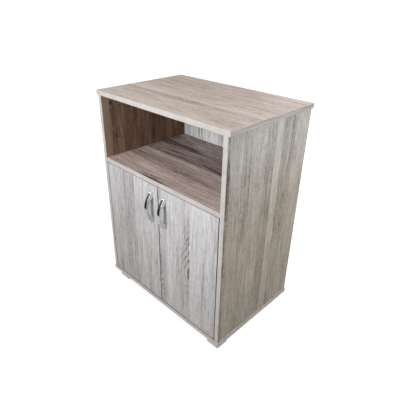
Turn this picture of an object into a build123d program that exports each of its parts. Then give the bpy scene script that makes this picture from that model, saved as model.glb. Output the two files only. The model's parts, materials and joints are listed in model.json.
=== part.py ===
"""Free-standing kitchen cabinet: an open bay above a cupboard with two inset doors.

Millimetres. X runs across the cabinet, the front faces -Y and +Z is up. The origin is on the
floor, under the middle of the cabinet's outer box.
"""

import os

from build123d import *

os.makedirs("parts", exist_ok=True)

# Boards
width = 600.0  # over the two side panels
depth = 400.0  # side panel with its front edging
side_height = 740.0
board = 16.0  # thickness of every coated board
back_board = 3.0  # thickness of the nailed back
edging = 1.0  # thickness of the glued edge strips
bay_height = 232.0  # open bay, from the middle shelf up to the top panel
top_side_overhang = 7.5
top_front_overhang = 2.0
bottom_side_overhang = 4.5
bottom_front_overhang = 1.0
inner_shelf_drop = 240.0  # from the middle shelf's underside to the inner shelf's top
inner_shelf_clear = 12.5  # between the inner shelf and the turning door edge
shelf_play = 1.0  # between the loose shelf and what it stands beside

# Doors
door_gap = 3.0  # around each door
meeting_gap = 3.5  # between the two doors
meeting_x = 8.0  # the doors part a little to the right of the middle

# Bow handles
handle_spacing = 96.0  # between the screws
handle_length = 118.0
handle_rise = 29.0
handle_bar = 7.0  # thickness at the top of the bow
handle_end = 4.5  # height of the end faces above the door
handle_width = 13.0
handle_end_round = 3.0
handle_round = 1.2
handle_from_meeting = 33.5
handle_below_top = 87.0  # from the door's top to the handle's middle
handle_thread = 5.0  # screw length inside the handle

# Feet
foot_length = 50.0
foot_depth = 48.0
foot_height = 16.0
foot_chamfer = 1.0
foot_inset = 39.0  # of the feet that stand in from the sides
foot_front_set = 2.0
foot_rear_set = 40.0

# Cam locks, bolts and dowels
cam_radius = 7.4
cam_depth = 12.0
cam_from_end = 34.0
cam_row = 37.0  # from the front and the rear edge
bolt_bore = 4.0
bolt_head = 3.5
bolt_head_length = 5.0
bolt_neck = 2.5
bolt_thread = 3.2
bolt_thread_length = 11.0
dowel_radius = 4.0
dowel_in_face = 11.0
dowel_in_end = 19.0
dowel_row = 101.0  # from the front and the rear edge
fit = 0.1  # clearance around pegs and screws in their holes
bore_end = 0.5  # free space at the end of a blind hole

# Shelf pins
pin_peg = 2.5
pin_peg_length = 9.0
pin_head = 3.5
pin_head_length = 8.0
pin_row = 70.0  # from the front and the rear edge
pin_pitch = 32.0
pin_spare_holes = 2  # above and below the hole in use

# Hinges
hinge_from_end = 90.0  # from the door's top and bottom to a hinge's middle
cup_radius = 17.5
cup_depth = 12.0
cup_past_axis = 1.5  # cup's middle beyond the hinge axis
cup_wall = 0.8
flange = 1.0
flange_rim = 1.5
wing_margin = 6.0  # flange beyond the cup screws
wing_width = 13.0
wing_round = 5.0
wing_offset = 9.5
cup_screw_spread = 24.0
hinge_pin = 1.25
pin_play = 0.1
eye_wall = 1.25
eye_clear = 0.6  # between the eye and the cup's floor
lug_wall = 1.85
lug_thickness = 2.0
lug_gap = 0.5
swing_clear = 1.45  # between the turning door corner and the side panel
arm_width = 16.0
arm_thickness = 2.0
arm_cup_clear = 1.2  # between the gooseneck and the cup's wall
arm_clear = 1.0  # between the gooseneck and the turning door corner
arm_bend = 4.0
arm_tail = 20.0  # behind the fixing screw
plate_behind = 21.5  # fixing screw behind the gooseneck
plate_height = 8.0
plate_wing = 3.0
plate_rib_length = 34.0
plate_rib_width = 18.0
plate_wing_margin = 6.0  # wings beyond the wood screws
plate_wing_width = 18.0
plate_wing_round = 8.0
plate_round = 3.0
plate_screw_spread = 16.0

# Screws and nails: head radius, head height, shank radius, shank length
wood_screw = (4.0, 2.0, 2.0, 14.0)
cup_screw = (3.5, 1.6, 1.8, 11.0)
flush_screw = (3.0, 0.7, 1.5, 11.0)
machine_screw = (4.0, 2.2, 2.4, 8.0)
foot_screw = (4.0, 2.5, 2.0, 24.0)
handle_screw = (4.0, 2.2, 2.0, board + handle_thread)
nail = (2.0, 0.6, 0.8, 18.0)
nails_per_side = 4
nails_in_shelf = 2
nail_margin = 60.0

# Magnet catches and their strike plates
catch_length = 46.0
catch_height = 13.0
catch_depth = 15.0
catch_round = 3.0
catch_ear = 3.0  # thickness of the screw ears
catch_ear_length = 8.0  # at each end
catch_from_meeting = 75.0
strike_length = 36.0
strike_height = 12.0
strike_thickness = 1.2
strike_gap = 0.4

# Places that follow from the sizes
half = width / 2
inside = half - board
front = (handle_rise - depth - back_board - nail[1]) / 2
rear = front + depth
floor_top = foot_height + board
side_top = floor_top + side_height
shelf_top = side_top - bay_height
shelf_bottom = shelf_top - board
inner_top = shelf_bottom - inner_shelf_drop
inner_bottom = inner_top - board
door_bottom = floor_top + door_gap
door_top = shelf_bottom - door_gap
door_back = front + board
hinge_heights = {"lower": door_bottom + hinge_from_end, "upper": door_top - hinge_from_end}
handle_middle = door_top - handle_below_top
doors = {"left": -1, "right": 1}

# Hinge places in plan: from the side panel's inner face, and from the front. The axis stands far
# enough from the door's edge for both corners of that edge to turn past the side panel.
eye_radius = hinge_pin + pin_play + eye_wall
axis_from_face = board - cup_depth + cup_wall + eye_clear + eye_radius
corner_depth = max(axis_from_face, board - axis_from_face)
swing_room = door_gap - swing_clear
axis_from_edge = (corner_depth**2 - swing_room**2) / (2 * swing_room)
axis_reach = door_gap + axis_from_edge
corner_radius = axis_from_edge + swing_room
cup_reach = axis_reach + cup_past_axis
cup_half_chord = ((cup_radius - cup_wall) ** 2 - (arm_width / 2) ** 2) ** 0.5
bend_reach = cup_reach + cup_half_chord - arm_cup_clear - arm_thickness / 2
arm_return = axis_from_face + corner_radius + arm_clear + arm_thickness / 2
plate_set = arm_return + plate_behind
inner_front = front + axis_from_face + corner_radius + inner_shelf_clear
lug_inner = arm_width / 2 + lug_gap
lug_outer = lug_inner + lug_thickness

INTO = (Align.CENTER, Align.CENTER, Align.MAX)
OUT = (Align.CENTER, Align.CENTER, Align.MIN)


def save(piece, name):
    """Label a finished piece and write it."""
    piece.part.label = name
    export_step(piece.part, f"parts/{name}.step")


def slab(x, y, z):
    """A block between three pairs of limits."""
    with Locations(((x[0] + x[1]) / 2, (y[0] + y[1]) / 2, (z[0] + z[1]) / 2)):
        Box(x[1] - x[0], y[1] - y[0], z[1] - z[0])


def drill(seats, radius, length):
    """Blind round holes, from each seat into the board behind it."""
    with Locations(*seats):
        Cylinder(radius, length, align=INTO, mode=Mode.SUBTRACT)


def seat(point, outward):
    """A plane on a face, where something is screwed or pushed in."""
    return Plane(origin=point, z_dir=outward)


def make_strips(name, strips):
    """Glued edge strips of one board, each between its limits."""
    with BuildPart() as edge:
        for x, y, z in strips:
            slab(x, y, z)
    save(edge, name)


def make_screws(name, seats, sizes):
    """A group of like screws with their heads on the seats."""
    head_radius, head_height, shank_radius, shank_length = sizes
    with BuildPart() as group:
        with Locations(*seats):
            Cylinder(head_radius, head_height, align=OUT)
            Cylinder(shank_radius, shank_length, align=INTO)
    save(group, name)


# Joints between the boards: where a bolt or dowel crosses, and the way into the board's end
rows = {"cam": (front + cam_row, rear - cam_row), "dowel": (front + dowel_row, rear - dowel_row)}
side_middle = inside + board / 2
shelf_middle = shelf_bottom + board / 2


def end_joints(kind, part):
    """Places of the cam or dowel joints at the top, at the bottom or at the middle shelf."""
    places = []
    for y in rows[kind]:
        for s in (-1, 1):
            if part == "top":
                places.append(((s * side_middle, y, side_top), (0, 0, -1), (-s, 0, 0)))
            elif part == "bottom":
                places.append(((s * side_middle, y, floor_top), (0, 0, 1), (-s, 0, 0)))
            else:
                places.append(((s * inside, y, shelf_middle), (-s, 0, 0), (0, 0, -1)))
    return places


def backward(direction):
    """The opposite of a direction."""
    return tuple(-value for value in direction)


def cam_face(place):
    """The seat of a cam lock, flush with the face of the board that holds it."""
    point, inward, outward = place
    middle = Vector(point) + Vector(inward) * cam_from_end + Vector(outward) * (board / 2)
    return seat(middle, outward)


def drill_ends(part):
    """Bolt, cam and dowel holes in the board whose end meets a face."""
    cams = end_joints("cam", part)
    dowels = end_joints("dowel", part)
    drill([seat(p, backward(d)) for p, d, _ in cams], bolt_bore, cam_from_end)
    drill([cam_face(place) for place in cams], cam_radius + fit, cam_depth + bore_end)
    drill([seat(p, backward(d)) for p, d, _ in dowels], dowel_radius + fit, dowel_in_end + bore_end)


def drill_face(part):
    """Bolt and dowel holes in the board whose face is met."""
    cams = end_joints("cam", part)
    dowels = end_joints("dowel", part)
    drill([seat(p, d) for p, d, _ in cams], bolt_thread + fit, bolt_thread_length + bore_end)
    drill([seat(p, d) for p, d, _ in dowels], dowel_radius + fit, dowel_in_face + bore_end)


# Seats of the screws, nails and pins that several pieces share
def plate_seats(s, height):
    """Seats of a hinge plate's two wood screws, at the given height above the side panel."""
    x = s * (inside - height)
    return [
        seat((x, front + plate_set, z + way * plate_screw_spread), (-s, 0, 0))
        for z in hinge_heights.values()
        for way in (-1, 1)
    ]


def nail_seats():
    """Seats of the nails around the back."""
    pitch = (side_height - 2 * nail_margin) / (nails_per_side - 1)
    seats = [
        seat((s * side_middle, rear + back_board, floor_top + nail_margin + i * pitch), (0, 1, 0))
        for s in (-1, 1)
        for i in range(nails_per_side)
    ]
    step = width / (nails_in_shelf + 1)
    seats += [
        seat(((i + 1) * step - half, rear + back_board, shelf_middle), (0, 1, 0))
        for i in range(nails_in_shelf)
    ]
    return seats


def pin_seats(s, levels):
    """Seats of shelf pins in one side panel, on the given levels of the row of holes."""
    return [
        seat((s * inside, y, inner_bottom - pin_head + level * pin_pitch), (-s, 0, 0))
        for y in (front + pin_row, rear - pin_row)
        for level in levels
    ]


feet = {
    "front_left": (foot_inset - half, front + foot_front_set),
    "front_right": (half - foot_length, front + foot_front_set),
    "back_left": (foot_inset - half, rear - foot_rear_set - foot_depth),
    "back_right": (half - foot_inset - foot_length, rear - foot_rear_set - foot_depth),
}


def foot_seat(corner):
    """Seat of a foot's screw, sunk into the foot from below."""
    x, y = feet[corner]
    return seat((x + foot_length / 2, y + foot_depth / 2, foot_screw[1] + foot_chamfer), (0, 0, -1))


def catch_middle(s):
    """Where a magnet catch hangs under the middle shelf."""
    return meeting_x + s * catch_from_meeting


catch_front = door_back + strike_thickness + strike_gap


def catch_seats(s, drop):
    """Seats of a catch's two screws, at a distance below the middle shelf."""
    y = catch_front + catch_depth / 2
    spread = (catch_length + catch_ear_length) / 2
    return [
        seat((catch_middle(s) + way * spread, y, shelf_bottom - drop), (0, 0, -1)) for way in (-1, 1)
    ]


# Side panels
for name, s in doors.items():
    with BuildPart() as side_panel:
        slab(sorted((s * inside, s * half)), (front + edging, rear), (floor_top, side_top))
        drill_ends("top")
        drill_ends("bottom")
        drill_face("shelf")
        drill(plate_seats(s, 0), wood_screw[2] + fit, wood_screw[3] - plate_wing + bore_end)
        levels = range(-pin_spare_holes, pin_spare_holes + 1)
        drill(pin_seats(s, levels), pin_peg + fit, pin_peg_length + bore_end)
        drill(nail_seats(), nail[2] + fit, nail[3] + bore_end)
    save(side_panel, f"{name}_side_panel")
    x = sorted((s * inside, s * half))
    make_strips(f"{name}_side_edging", [(x, (front, front + edging), (floor_top, side_top))])


def make_cover(name, overhang, front_overhang, low, place):
    """The top or bottom panel with its edge strips, over the ends of the sides and the back."""
    reach = half + overhang
    start = front - front_overhang
    end = rear + back_board
    z = (low, low + board)
    with BuildPart() as cover:
        slab((edging - reach, reach - edging), (start + edging, end), z)
        drill_face(place)
        if place == "bottom":
            drill([foot_seat(corner) for corner in feet], foot_screw[2] + fit, foot_screw[3] + bore_end)
    save(cover, f"{name}_panel")
    strips = [((-reach, reach), (start, start + edging), z)]
    strips += [(sorted((s * (reach - edging), s * reach)), (start + edging, end), z) for s in (-1, 1)]
    make_strips(f"{name}_edging", strips)


make_cover("top", top_side_overhang, top_front_overhang, side_top, "top")
make_cover("bottom", bottom_side_overhang, bottom_front_overhang, foot_height, "bottom")

# Fixed shelf between the open bay and the cupboard
with BuildPart() as middle_shelf:
    slab((-inside, inside), (front + edging, rear), (shelf_bottom, shelf_top))
    drill_ends("shelf")
    drill(nail_seats(), nail[2] + fit, nail[3] + bore_end)
    for s in doors.values():
        drill(catch_seats(s, 0), cup_screw[2] + fit, cup_screw[3] - catch_ear + bore_end)
save(middle_shelf, "middle_shelf")
make_strips(
    "middle_shelf_edging",
    [((-inside, inside), (front, front + edging), (shelf_bottom, shelf_top))],
)

# Loose shelf inside the cupboard, on four pins
inner_reach = inside - shelf_play
with BuildPart() as inner_shelf:
    slab(
        (-inner_reach, inner_reach),
        (inner_front + edging, rear - shelf_play),
        (inner_bottom, inner_top),
    )
save(inner_shelf, "inner_shelf")
make_strips(
    "inner_shelf_edging",
    [((-inner_reach, inner_reach), (inner_front, inner_front + edging), (inner_bottom, inner_top))],
)

with BuildPart() as shelf_pins:
    for s in doors.values():
        with Locations(*pin_seats(s, [0])):
            Cylinder(pin_peg, pin_peg_length, align=INTO)
            Cylinder(pin_head, pin_head_length, align=OUT)
save(shelf_pins, "shelf_pins")

# Thin back, nailed behind the sides and the middle shelf
with BuildPart() as back_panel:
    slab((-half, half), (rear, rear + back_board), (floor_top, side_top))
    drill(nail_seats(), nail[2] + fit, back_board)
save(back_panel, "back_panel")
make_screws("back_nails", nail_seats(), nail)

# Cam locks, their bolts and the dowels
all_cams = [place for part in ("top", "bottom", "shelf") for place in end_joints("cam", part)]
all_dowels = [place for part in ("top", "bottom", "shelf") for place in end_joints("dowel", part)]
bolt_end = cam_from_end + bolt_head_length / 2

with BuildPart() as cam_locks:
    with Locations(*[cam_face(place) for place in all_cams]):
        Cylinder(cam_radius, cam_depth, align=INTO)
    with Locations(*[seat(point, inward) for point, inward, _ in all_cams]):
        Cylinder(bolt_bore, bolt_end + bore_end, align=OUT, mode=Mode.SUBTRACT)
save(cam_locks, "cam_locks")

with BuildPart() as cam_bolts:
    with Locations(*[seat(point, inward) for point, inward, _ in all_cams]):
        Cylinder(bolt_neck, bolt_end, align=OUT)
        Cylinder(bolt_thread, bolt_thread_length, align=INTO)
        with Locations((0, 0, bolt_end)):
            Cylinder(bolt_head, bolt_head_length, align=INTO)
save(cam_bolts, "cam_bolts")

with BuildPart() as dowels:
    with Locations(*[seat(point, inward) for point, inward, _ in all_dowels]):
        Cylinder(dowel_radius, dowel_in_end, align=OUT)
        Cylinder(dowel_radius, dowel_in_face, align=INTO)
save(dowels, "dowels")

# Feet
for corner, (x, y) in feet.items():
    with BuildPart() as foot:
        slab((x, x + foot_length), (y, y + foot_depth), (0, foot_height))
        chamfer(foot.faces().sort_by(Axis.Z)[0].edges(), foot_chamfer)
        drill([foot_seat(corner)], foot_screw[2] + fit, foot_height)
        with Locations(foot_seat(corner)):
            Cylinder(foot_screw[0] + fit, foot_height, align=OUT, mode=Mode.SUBTRACT)
    save(foot, f"{corner}_foot")
make_screws("foot_screws", [foot_seat(corner) for corner in feet], foot_screw)


# Hinges: a steel cup let into the door turns on a pin through the rolled eye of a gooseneck arm
def hinge_plan(s, z):
    """Plan view of a hinge: local x from the side panel inwards, local y from the front backwards."""
    return Plane(origin=(s * inside, front, z), x_dir=(-s, 0, 0), z_dir=(0, 0, -s))


def cup_place(s, z):
    """The door's inner face, at the middle of a cup."""
    return Plane(origin=(s * (inside - cup_reach), door_back, z), x_dir=(-s, 0, 0), z_dir=(0, 1, 0))


def cup_screw_seats(s, height):
    """Seats of a door's cup screws, at a height above its inner face."""
    x = s * (inside - cup_reach - wing_offset)
    return [
        seat((x, door_back + height, z + way * cup_screw_spread), (0, 1, 0))
        for z in hinge_heights.values()
        for way in (-1, 1)
    ]


def arm_screw_seats(s, height):
    """Seats of the screws that hold the arms on their plates."""
    x = s * (inside - height)
    return [seat((x, front + plate_set, z), (-s, 0, 0)) for z in hinge_heights.values()]


def make_cup(name, s, z):
    """Pressed cup with its flange and the two lugs that carry the hinge pin."""
    place = cup_place(s, z)
    plan = hinge_plan(s, z)
    lug_radius = hinge_pin + lug_wall
    lug_foot = board - cup_depth + cup_wall / 2
    with BuildPart() as cup:
        with BuildSketch(place):
            Circle(cup_radius + flange_rim)
            with Locations((wing_offset, 0)):
                RectangleRounded(wing_width, 2 * (cup_screw_spread + wing_margin), wing_round)
        extrude(amount=flange)
        with BuildSketch(place):
            Circle(cup_radius)
        extrude(amount=-cup_depth)
        with BuildSketch(place.offset(flange)):
            Circle(cup_radius - cup_wall)
        extrude(amount=-(cup_depth + flange - cup_wall), mode=Mode.SUBTRACT)
        for low in (lug_inner, -lug_outer):
            with BuildSketch(plan.offset(low)):
                with Locations((axis_reach, axis_from_face)):
                    Circle(lug_radius)
                with Locations((axis_reach, (lug_foot + axis_from_face) / 2)):
                    Rectangle(2 * lug_radius, axis_from_face - lug_foot)
            extrude(amount=lug_thickness)
        with BuildSketch(plan.offset(-lug_outer)):
            with Locations((axis_reach, axis_from_face)):
                Circle(hinge_pin + fit)
        extrude(amount=2 * lug_outer, mode=Mode.SUBTRACT)
        drill(cup_screw_seats(s, flange), cup_screw[2] + fit, flange)
    save(cup, name)


def make_arm(name, s, z):
    """Gooseneck strip: it leaves the cup, passes behind the door's edge and lies on the plate."""
    plan = hinge_plan(s, z)
    tail_reach = plate_height + arm_thickness / 2
    with BuildPart() as arm:
        with BuildLine(plan) as route:
            FilletPolyline(
                (axis_reach, axis_from_face),
                (bend_reach, axis_from_face),
                (bend_reach, arm_return),
                (tail_reach, arm_return),
                (tail_reach, plate_set + arm_tail),
                radius=arm_bend,
            )
        with BuildSketch(Plane(origin=route.line @ 0, x_dir=(0, 0, 1), z_dir=route.line % 0)):
            Rectangle(arm_width, arm_thickness)
        sweep(path=route.line)
        with BuildSketch(plan.offset(-arm_width / 2)):
            with Locations((axis_reach, axis_from_face)):
                Circle(eye_radius)
        extrude(amount=arm_width)
        with BuildSketch(plan.offset(-arm_width / 2)):
            with Locations((axis_reach, axis_from_face)):
                Circle(hinge_pin + pin_play)
        extrude(amount=arm_width, mode=Mode.SUBTRACT)
        tail = arm.edges().filter_by(Axis.X).group_by(Axis.Y)[-1]
        fillet(tail, plate_round)
        drill(arm_screw_seats(s, tail_reach + arm_thickness), machine_screw[2] + fit, 2 * arm_thickness)
    save(arm, name)


def make_plate(name, s, z):
    """Mounting plate: a raised rib that carries the arm, and two screw wings."""
    place = Plane(origin=(s * inside, front + plate_set, z), x_dir=(0, 1, 0), z_dir=(-s, 0, 0))
    with BuildPart() as plate:
        with BuildSketch(place):
            wing_length = 2 * (plate_screw_spread + plate_wing_margin)
            RectangleRounded(plate_wing_width, wing_length, plate_wing_round)
        extrude(amount=plate_wing)
        with BuildSketch(place):
            RectangleRounded(plate_rib_length, plate_rib_width, plate_round)
        extrude(amount=plate_height)
        drill(plate_seats(s, plate_wing), wood_screw[2] + fit, plate_wing)
        drill(arm_screw_seats(s, plate_height), machine_screw[2] + fit, plate_height)
    save(plate, name)


def handle_middle_x(s):
    """Where a handle stands, beside the line where the doors meet."""
    return meeting_x + s * handle_from_meeting


def handle_seats(s):
    """Seats of a handle's two screws on the door's inner face."""
    return [
        seat((handle_middle_x(s), door_back, handle_middle + way * handle_spacing / 2), (0, 1, 0))
        for way in (-1, 1)
    ]


def make_handle(name, s):
    """Bow handle: a flat bar bent to an arc, with its feet on the door."""
    reach = handle_length / 2
    inner_reach = handle_spacing - reach
    place = Plane(origin=(handle_middle_x(s), front, handle_middle), x_dir=(0, 0, 1), z_dir=(1, 0, 0))
    with BuildPart() as handle:
        with BuildSketch(place):
            with BuildLine():
                ThreePointArc((-reach, handle_end), (0, handle_rise), (reach, handle_end))
                Polyline((reach, handle_end), (reach, 0), (inner_reach, 0))
                ThreePointArc((inner_reach, 0), (0, handle_rise - handle_bar), (-inner_reach, 0))
                Polyline((-inner_reach, 0), (-reach, 0), (-reach, handle_end))
            make_face()
        extrude(amount=handle_width / 2, both=True)
        fillet(handle.edges().filter_by(Axis.X).group_by(Axis.Y)[0], handle_end_round)
        fillet(handle.edges().filter_by(GeomType.CIRCLE), handle_round)
        drill(handle_seats(s), handle_screw[2] + fit, board + handle_thread + bore_end)
    save(handle, name)


def strike_seat(s, height):
    """Seat of a strike plate's screw, at a height above the door's inner face."""
    place = (catch_middle(s), door_back + height, door_top - strike_height / 2)
    return Plane(origin=place, x_dir=(1, 0, 0), z_dir=(0, 1, 0))


# Doors with what moves with them, and the fixed halves of their hinges and catches
for name, s in doors.items():
    meeting_edge = meeting_x + s * meeting_gap / 2
    hinge_edge = s * (inside - door_gap)
    x = sorted((meeting_edge + s * edging, hinge_edge - s * edging))
    with BuildPart() as door:
        slab(x, (front, door_back), (door_bottom + edging, door_top - edging))
        drill(
            [cup_place(s, z) for z in hinge_heights.values()],
            cup_radius + fit,
            cup_depth + fit,
        )
        drill(cup_screw_seats(s, 0), cup_screw[2] + fit, cup_screw[3] - flange + bore_end)
        drill(handle_seats(s), handle_screw[2] + fit, board)
        drill([strike_seat(s, 0)], flush_screw[2] + fit, flush_screw[3] + bore_end)
    save(door, f"{name}_door")
    strips = [
        (sorted((edge, edge + way * edging)), (front, door_back), (door_bottom, door_top))
        for edge, way in ((meeting_edge, s), (hinge_edge, -s))
    ]
    strips += [
        (x, (front, door_back), (low, low + edging)) for low in (door_bottom, door_top - edging)
    ]
    make_strips(f"{name}_door_edging", strips)

    make_handle(f"{name}_handle", s)
    make_screws(f"{name}_handle_screws", handle_seats(s), handle_screw)

    for level, z in hinge_heights.items():
        make_cup(f"{name}_{level}_hinge_cup", s, z)
        make_arm(f"{name}_{level}_hinge_arm", s, z)
        make_plate(f"{name}_{level}_hinge_plate", s, z)
    make_screws(f"{name}_cup_screws", cup_screw_seats(s, flange), cup_screw)
    with BuildPart() as hinge_pins:
        axis_x = s * (inside - axis_reach)
        with Locations(*[(axis_x, front + axis_from_face, z) for z in hinge_heights.values()]):
            Cylinder(hinge_pin, 2 * lug_outer)
    save(hinge_pins, f"{name}_hinge_pins")

    with BuildPart() as strike:
        with BuildSketch(strike_seat(s, 0)):
            RectangleRounded(strike_length, strike_height, catch_round)
        extrude(amount=strike_thickness)
        drill([strike_seat(s, strike_thickness)], flush_screw[2] + fit, strike_thickness)
        drill([strike_seat(s, strike_thickness)], flush_screw[0] + fit, flush_screw[1])
    save(strike, f"{name}_strike")
    make_screws(f"{name}_strike_screw", [strike_seat(s, strike_thickness - flush_screw[1])], flush_screw)

    ceiling = Plane(
        origin=(catch_middle(s), catch_front + catch_depth / 2, shelf_bottom),
        x_dir=(1, 0, 0),
        z_dir=(0, 0, -1),
    )
    with BuildPart() as catch:
        with BuildSketch(ceiling):
            RectangleRounded(catch_length, catch_depth, catch_round)
        extrude(amount=catch_height)
        with BuildSketch(ceiling):
            RectangleRounded(catch_length + 2 * catch_ear_length, catch_depth, catch_round)
        extrude(amount=catch_ear)
        drill(catch_seats(s, catch_ear), cup_screw[2] + fit, catch_ear)
    save(catch, f"{name}_catch")

both = doors.values()
make_screws("plate_screws", [p for s in both for p in plate_seats(s, plate_wing)], wood_screw)
make_screws(
    "arm_screws",
    [p for s in both for p in arm_screw_seats(s, plate_height + arm_thickness)],
    machine_screw,
)
make_screws("catch_screws", [p for s in both for p in catch_seats(s, catch_ear)], cup_screw)
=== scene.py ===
# %% [markdown]
# # A kitchen cabinet in wood-grain board
# The cabinet is a box of coated chipboard: an open bay on top, and a cupboard with two inset doors
# under it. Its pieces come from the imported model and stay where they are. This lesson gives them
# their finishes, rounds what a machine would round, and puts real screw heads in their places.

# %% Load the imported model
import json
import math
import bmesh
import bpy
from mathutils import Matrix, Vector


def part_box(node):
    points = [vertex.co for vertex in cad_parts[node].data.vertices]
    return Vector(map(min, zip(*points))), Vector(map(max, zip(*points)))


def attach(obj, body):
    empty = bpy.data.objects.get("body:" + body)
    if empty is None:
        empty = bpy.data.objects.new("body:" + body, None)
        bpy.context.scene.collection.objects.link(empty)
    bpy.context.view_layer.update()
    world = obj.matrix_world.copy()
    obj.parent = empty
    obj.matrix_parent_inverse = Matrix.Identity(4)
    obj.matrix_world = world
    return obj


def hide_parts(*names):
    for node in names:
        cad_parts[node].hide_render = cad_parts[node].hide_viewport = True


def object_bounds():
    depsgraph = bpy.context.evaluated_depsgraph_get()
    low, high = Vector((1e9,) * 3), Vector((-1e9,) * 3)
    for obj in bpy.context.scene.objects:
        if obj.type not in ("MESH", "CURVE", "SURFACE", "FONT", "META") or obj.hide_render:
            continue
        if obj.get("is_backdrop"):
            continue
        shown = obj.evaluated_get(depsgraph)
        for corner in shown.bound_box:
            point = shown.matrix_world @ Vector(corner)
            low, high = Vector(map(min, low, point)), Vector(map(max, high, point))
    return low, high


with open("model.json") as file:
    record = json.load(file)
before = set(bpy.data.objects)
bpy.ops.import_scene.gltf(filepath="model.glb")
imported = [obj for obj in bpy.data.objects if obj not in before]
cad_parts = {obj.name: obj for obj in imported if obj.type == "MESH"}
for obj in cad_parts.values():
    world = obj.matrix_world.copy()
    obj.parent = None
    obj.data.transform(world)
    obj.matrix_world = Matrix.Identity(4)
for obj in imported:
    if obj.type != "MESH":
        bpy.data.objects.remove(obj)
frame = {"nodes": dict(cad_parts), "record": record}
cad_low, cad_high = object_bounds()
nodes = frame["nodes"]
scene = bpy.context.scene
MM = 0.001
AXES = {"x": 0, "y": 1, "z": 2}
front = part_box("left_side_edging")[0].y


def new_object(name, data):
    """An object in the scene."""
    thing = bpy.data.objects.new(name, data)
    scene.collection.objects.link(thing)
    return thing


print("nodes:", len(nodes), "front plane at y =", round(front, 4))

# %% [markdown]
# ## Camera
# The photograph looks down at the right front corner. A camera could be aimed by eye, but this one
# was worked out from the cabinet's own corners, so the picture lines up with the photograph edge for
# edge. Azimuth, elevation and roll are easier to read than a matrix, so the matrix is built from them.

# %% Camera
camera_azimuth = math.radians(44.7838)
camera_elevation = math.radians(28.1081)
camera_roll = math.radians(0.7531)
camera_place = Vector((0.90466, front - 0.72440, 1.10192))
focal_length = 35.033
sensor_width = 36.0
frame_shift = (0.01115, -0.00908)


def make_camera():
    """Place the camera by its azimuth, elevation and roll."""
    az, el = camera_azimuth, camera_elevation
    back = Vector((math.sin(az) * math.cos(el), -math.cos(az) * math.cos(el), math.sin(el)))
    right = Vector((math.cos(az), math.sin(az), 0))
    up = back.cross(right)
    c, s = math.cos(camera_roll), math.sin(camera_roll)
    turn = Matrix((c * right + s * up, c * up - s * right, back)).transposed()
    data = bpy.data.cameras.new("camera")
    data.sensor_width = sensor_width
    data.lens = focal_length
    data.shift_x, data.shift_y = frame_shift
    camera = new_object("camera", data)
    camera.matrix_world = Matrix.Translation(camera_place) @ turn.to_4x4()
    scene.camera = camera


make_camera()
scene.view_settings.view_transform = "Standard"
print("camera at", [round(v, 3) for v in camera_place])

# %% [markdown]
# ## Small tools for node trees
# Every finish here is a node tree, and so are the screws. Nodes could be placed by hand in the editor,
# but a script can repeat a tree for each board with other numbers, and a few helpers keep it readable.
# Colours are written as a screen shows them and turned into the linear values that light adds up in.


# %% Colours and nodes
def srgb(red, green, blue):
    """A colour as seen on a screen, 0 to 255, turned into the linear values that shaders use."""
    def linear(value):
        v = value / 255
        return v / 12.92 if v <= 0.04045 else ((v + 0.055) / 1.055) ** 2.4
    return (linear(red), linear(green), linear(blue), 1.0)


def grey(value):
    """A neutral colour of one linear value."""
    return (value, value, value, 1.0)


def even(scale):
    """The same scale along all three axes."""
    return (scale, scale, scale)


def fill(tree, node, inputs):
    """Set a node's inputs: a socket is linked, anything else is a value."""
    for key, value in inputs.items():
        if isinstance(value, bpy.types.NodeSocket):
            tree.links.new(value, node.inputs[key])
        else:
            node.inputs[key].default_value = value


def add(tree, kind, inputs=None, **settings):
    """Add a node with its properties and inputs."""
    node = tree.nodes.new(kind)
    for key, value in settings.items():
        setattr(node, key, value)
    fill(tree, node, inputs or {})
    return node


def made(tree, kind, inputs=None, **settings):
    """Add a node and return its first output."""
    return add(tree, kind, inputs, **settings).outputs[0]


print("a screen grey of 128 is", round(srgb(128, 128, 128)[0], 3), "to a shader")

# %% [markdown]
# Sums and products are single nodes, too. Short names for the common ones let a tree read like the
# sum that it is.


# %% Sums
def maths(tree, operation, first, second=0.0, third=0.0):
    """One maths step."""
    return made(tree, "ShaderNodeMath", {0: first, 1: second, 2: third}, operation=operation)


def times(tree, first, second):
    """The product of two values."""
    return maths(tree, "MULTIPLY", first, second)


def times_plus(tree, value, factor, rest):
    """A value times a factor, added to the rest."""
    return maths(tree, "MULTIPLY_ADD", value, factor, rest)


def sway(tree, noise, share, rest):
    """Let a noise, whose middle is a half, raise and lower the rest by its share."""
    return times_plus(tree, maths(tree, "SUBTRACT", noise, 0.5), share, rest)


def spread(tree, value, low, high, to_low=0.0, to_high=1.0):
    """Map a value from one range to another, and no further."""
    return made(tree, "ShaderNodeMapRange", {0: value, 1: low, 2: high, 3: to_low, 4: to_high})


def point(tree, x, y=0.0, z=0.0):
    """A vector from three values."""
    return made(tree, "ShaderNodeCombineXYZ", {0: x, 1: y, 2: z})


def split(tree, vector):
    """The three values of a vector."""
    return add(tree, "ShaderNodeSeparateXYZ", {0: vector}).outputs


def scaled(tree, vector, scale):
    """A vector multiplied axis by axis."""
    return made(tree, "ShaderNodeVectorMath", {0: vector, 1: scale}, operation="MULTIPLY")


print("ready: sums, ranges and vectors")

# %% [markdown]
# The last helpers are the steps that every finish takes: noise, a ramp of colours, a mix, a bump, and
# a main shader that reads Object coordinates. Those stay with a piece, so that its pattern doesn't
# slide when a door opens.


# %% Steps of a finish
def stretched_noise(tree, place, scale, **inputs):
    """Noise whose grains are stretched by a different scale along each axis."""
    values = {"Vector": scaled(tree, place, scale), "Scale": 1.0, "Detail": 3.0, "Roughness": 0.55}
    values.update({key.capitalize(): value for key, value in inputs.items()})
    return made(tree, "ShaderNodeTexNoise", values)


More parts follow.
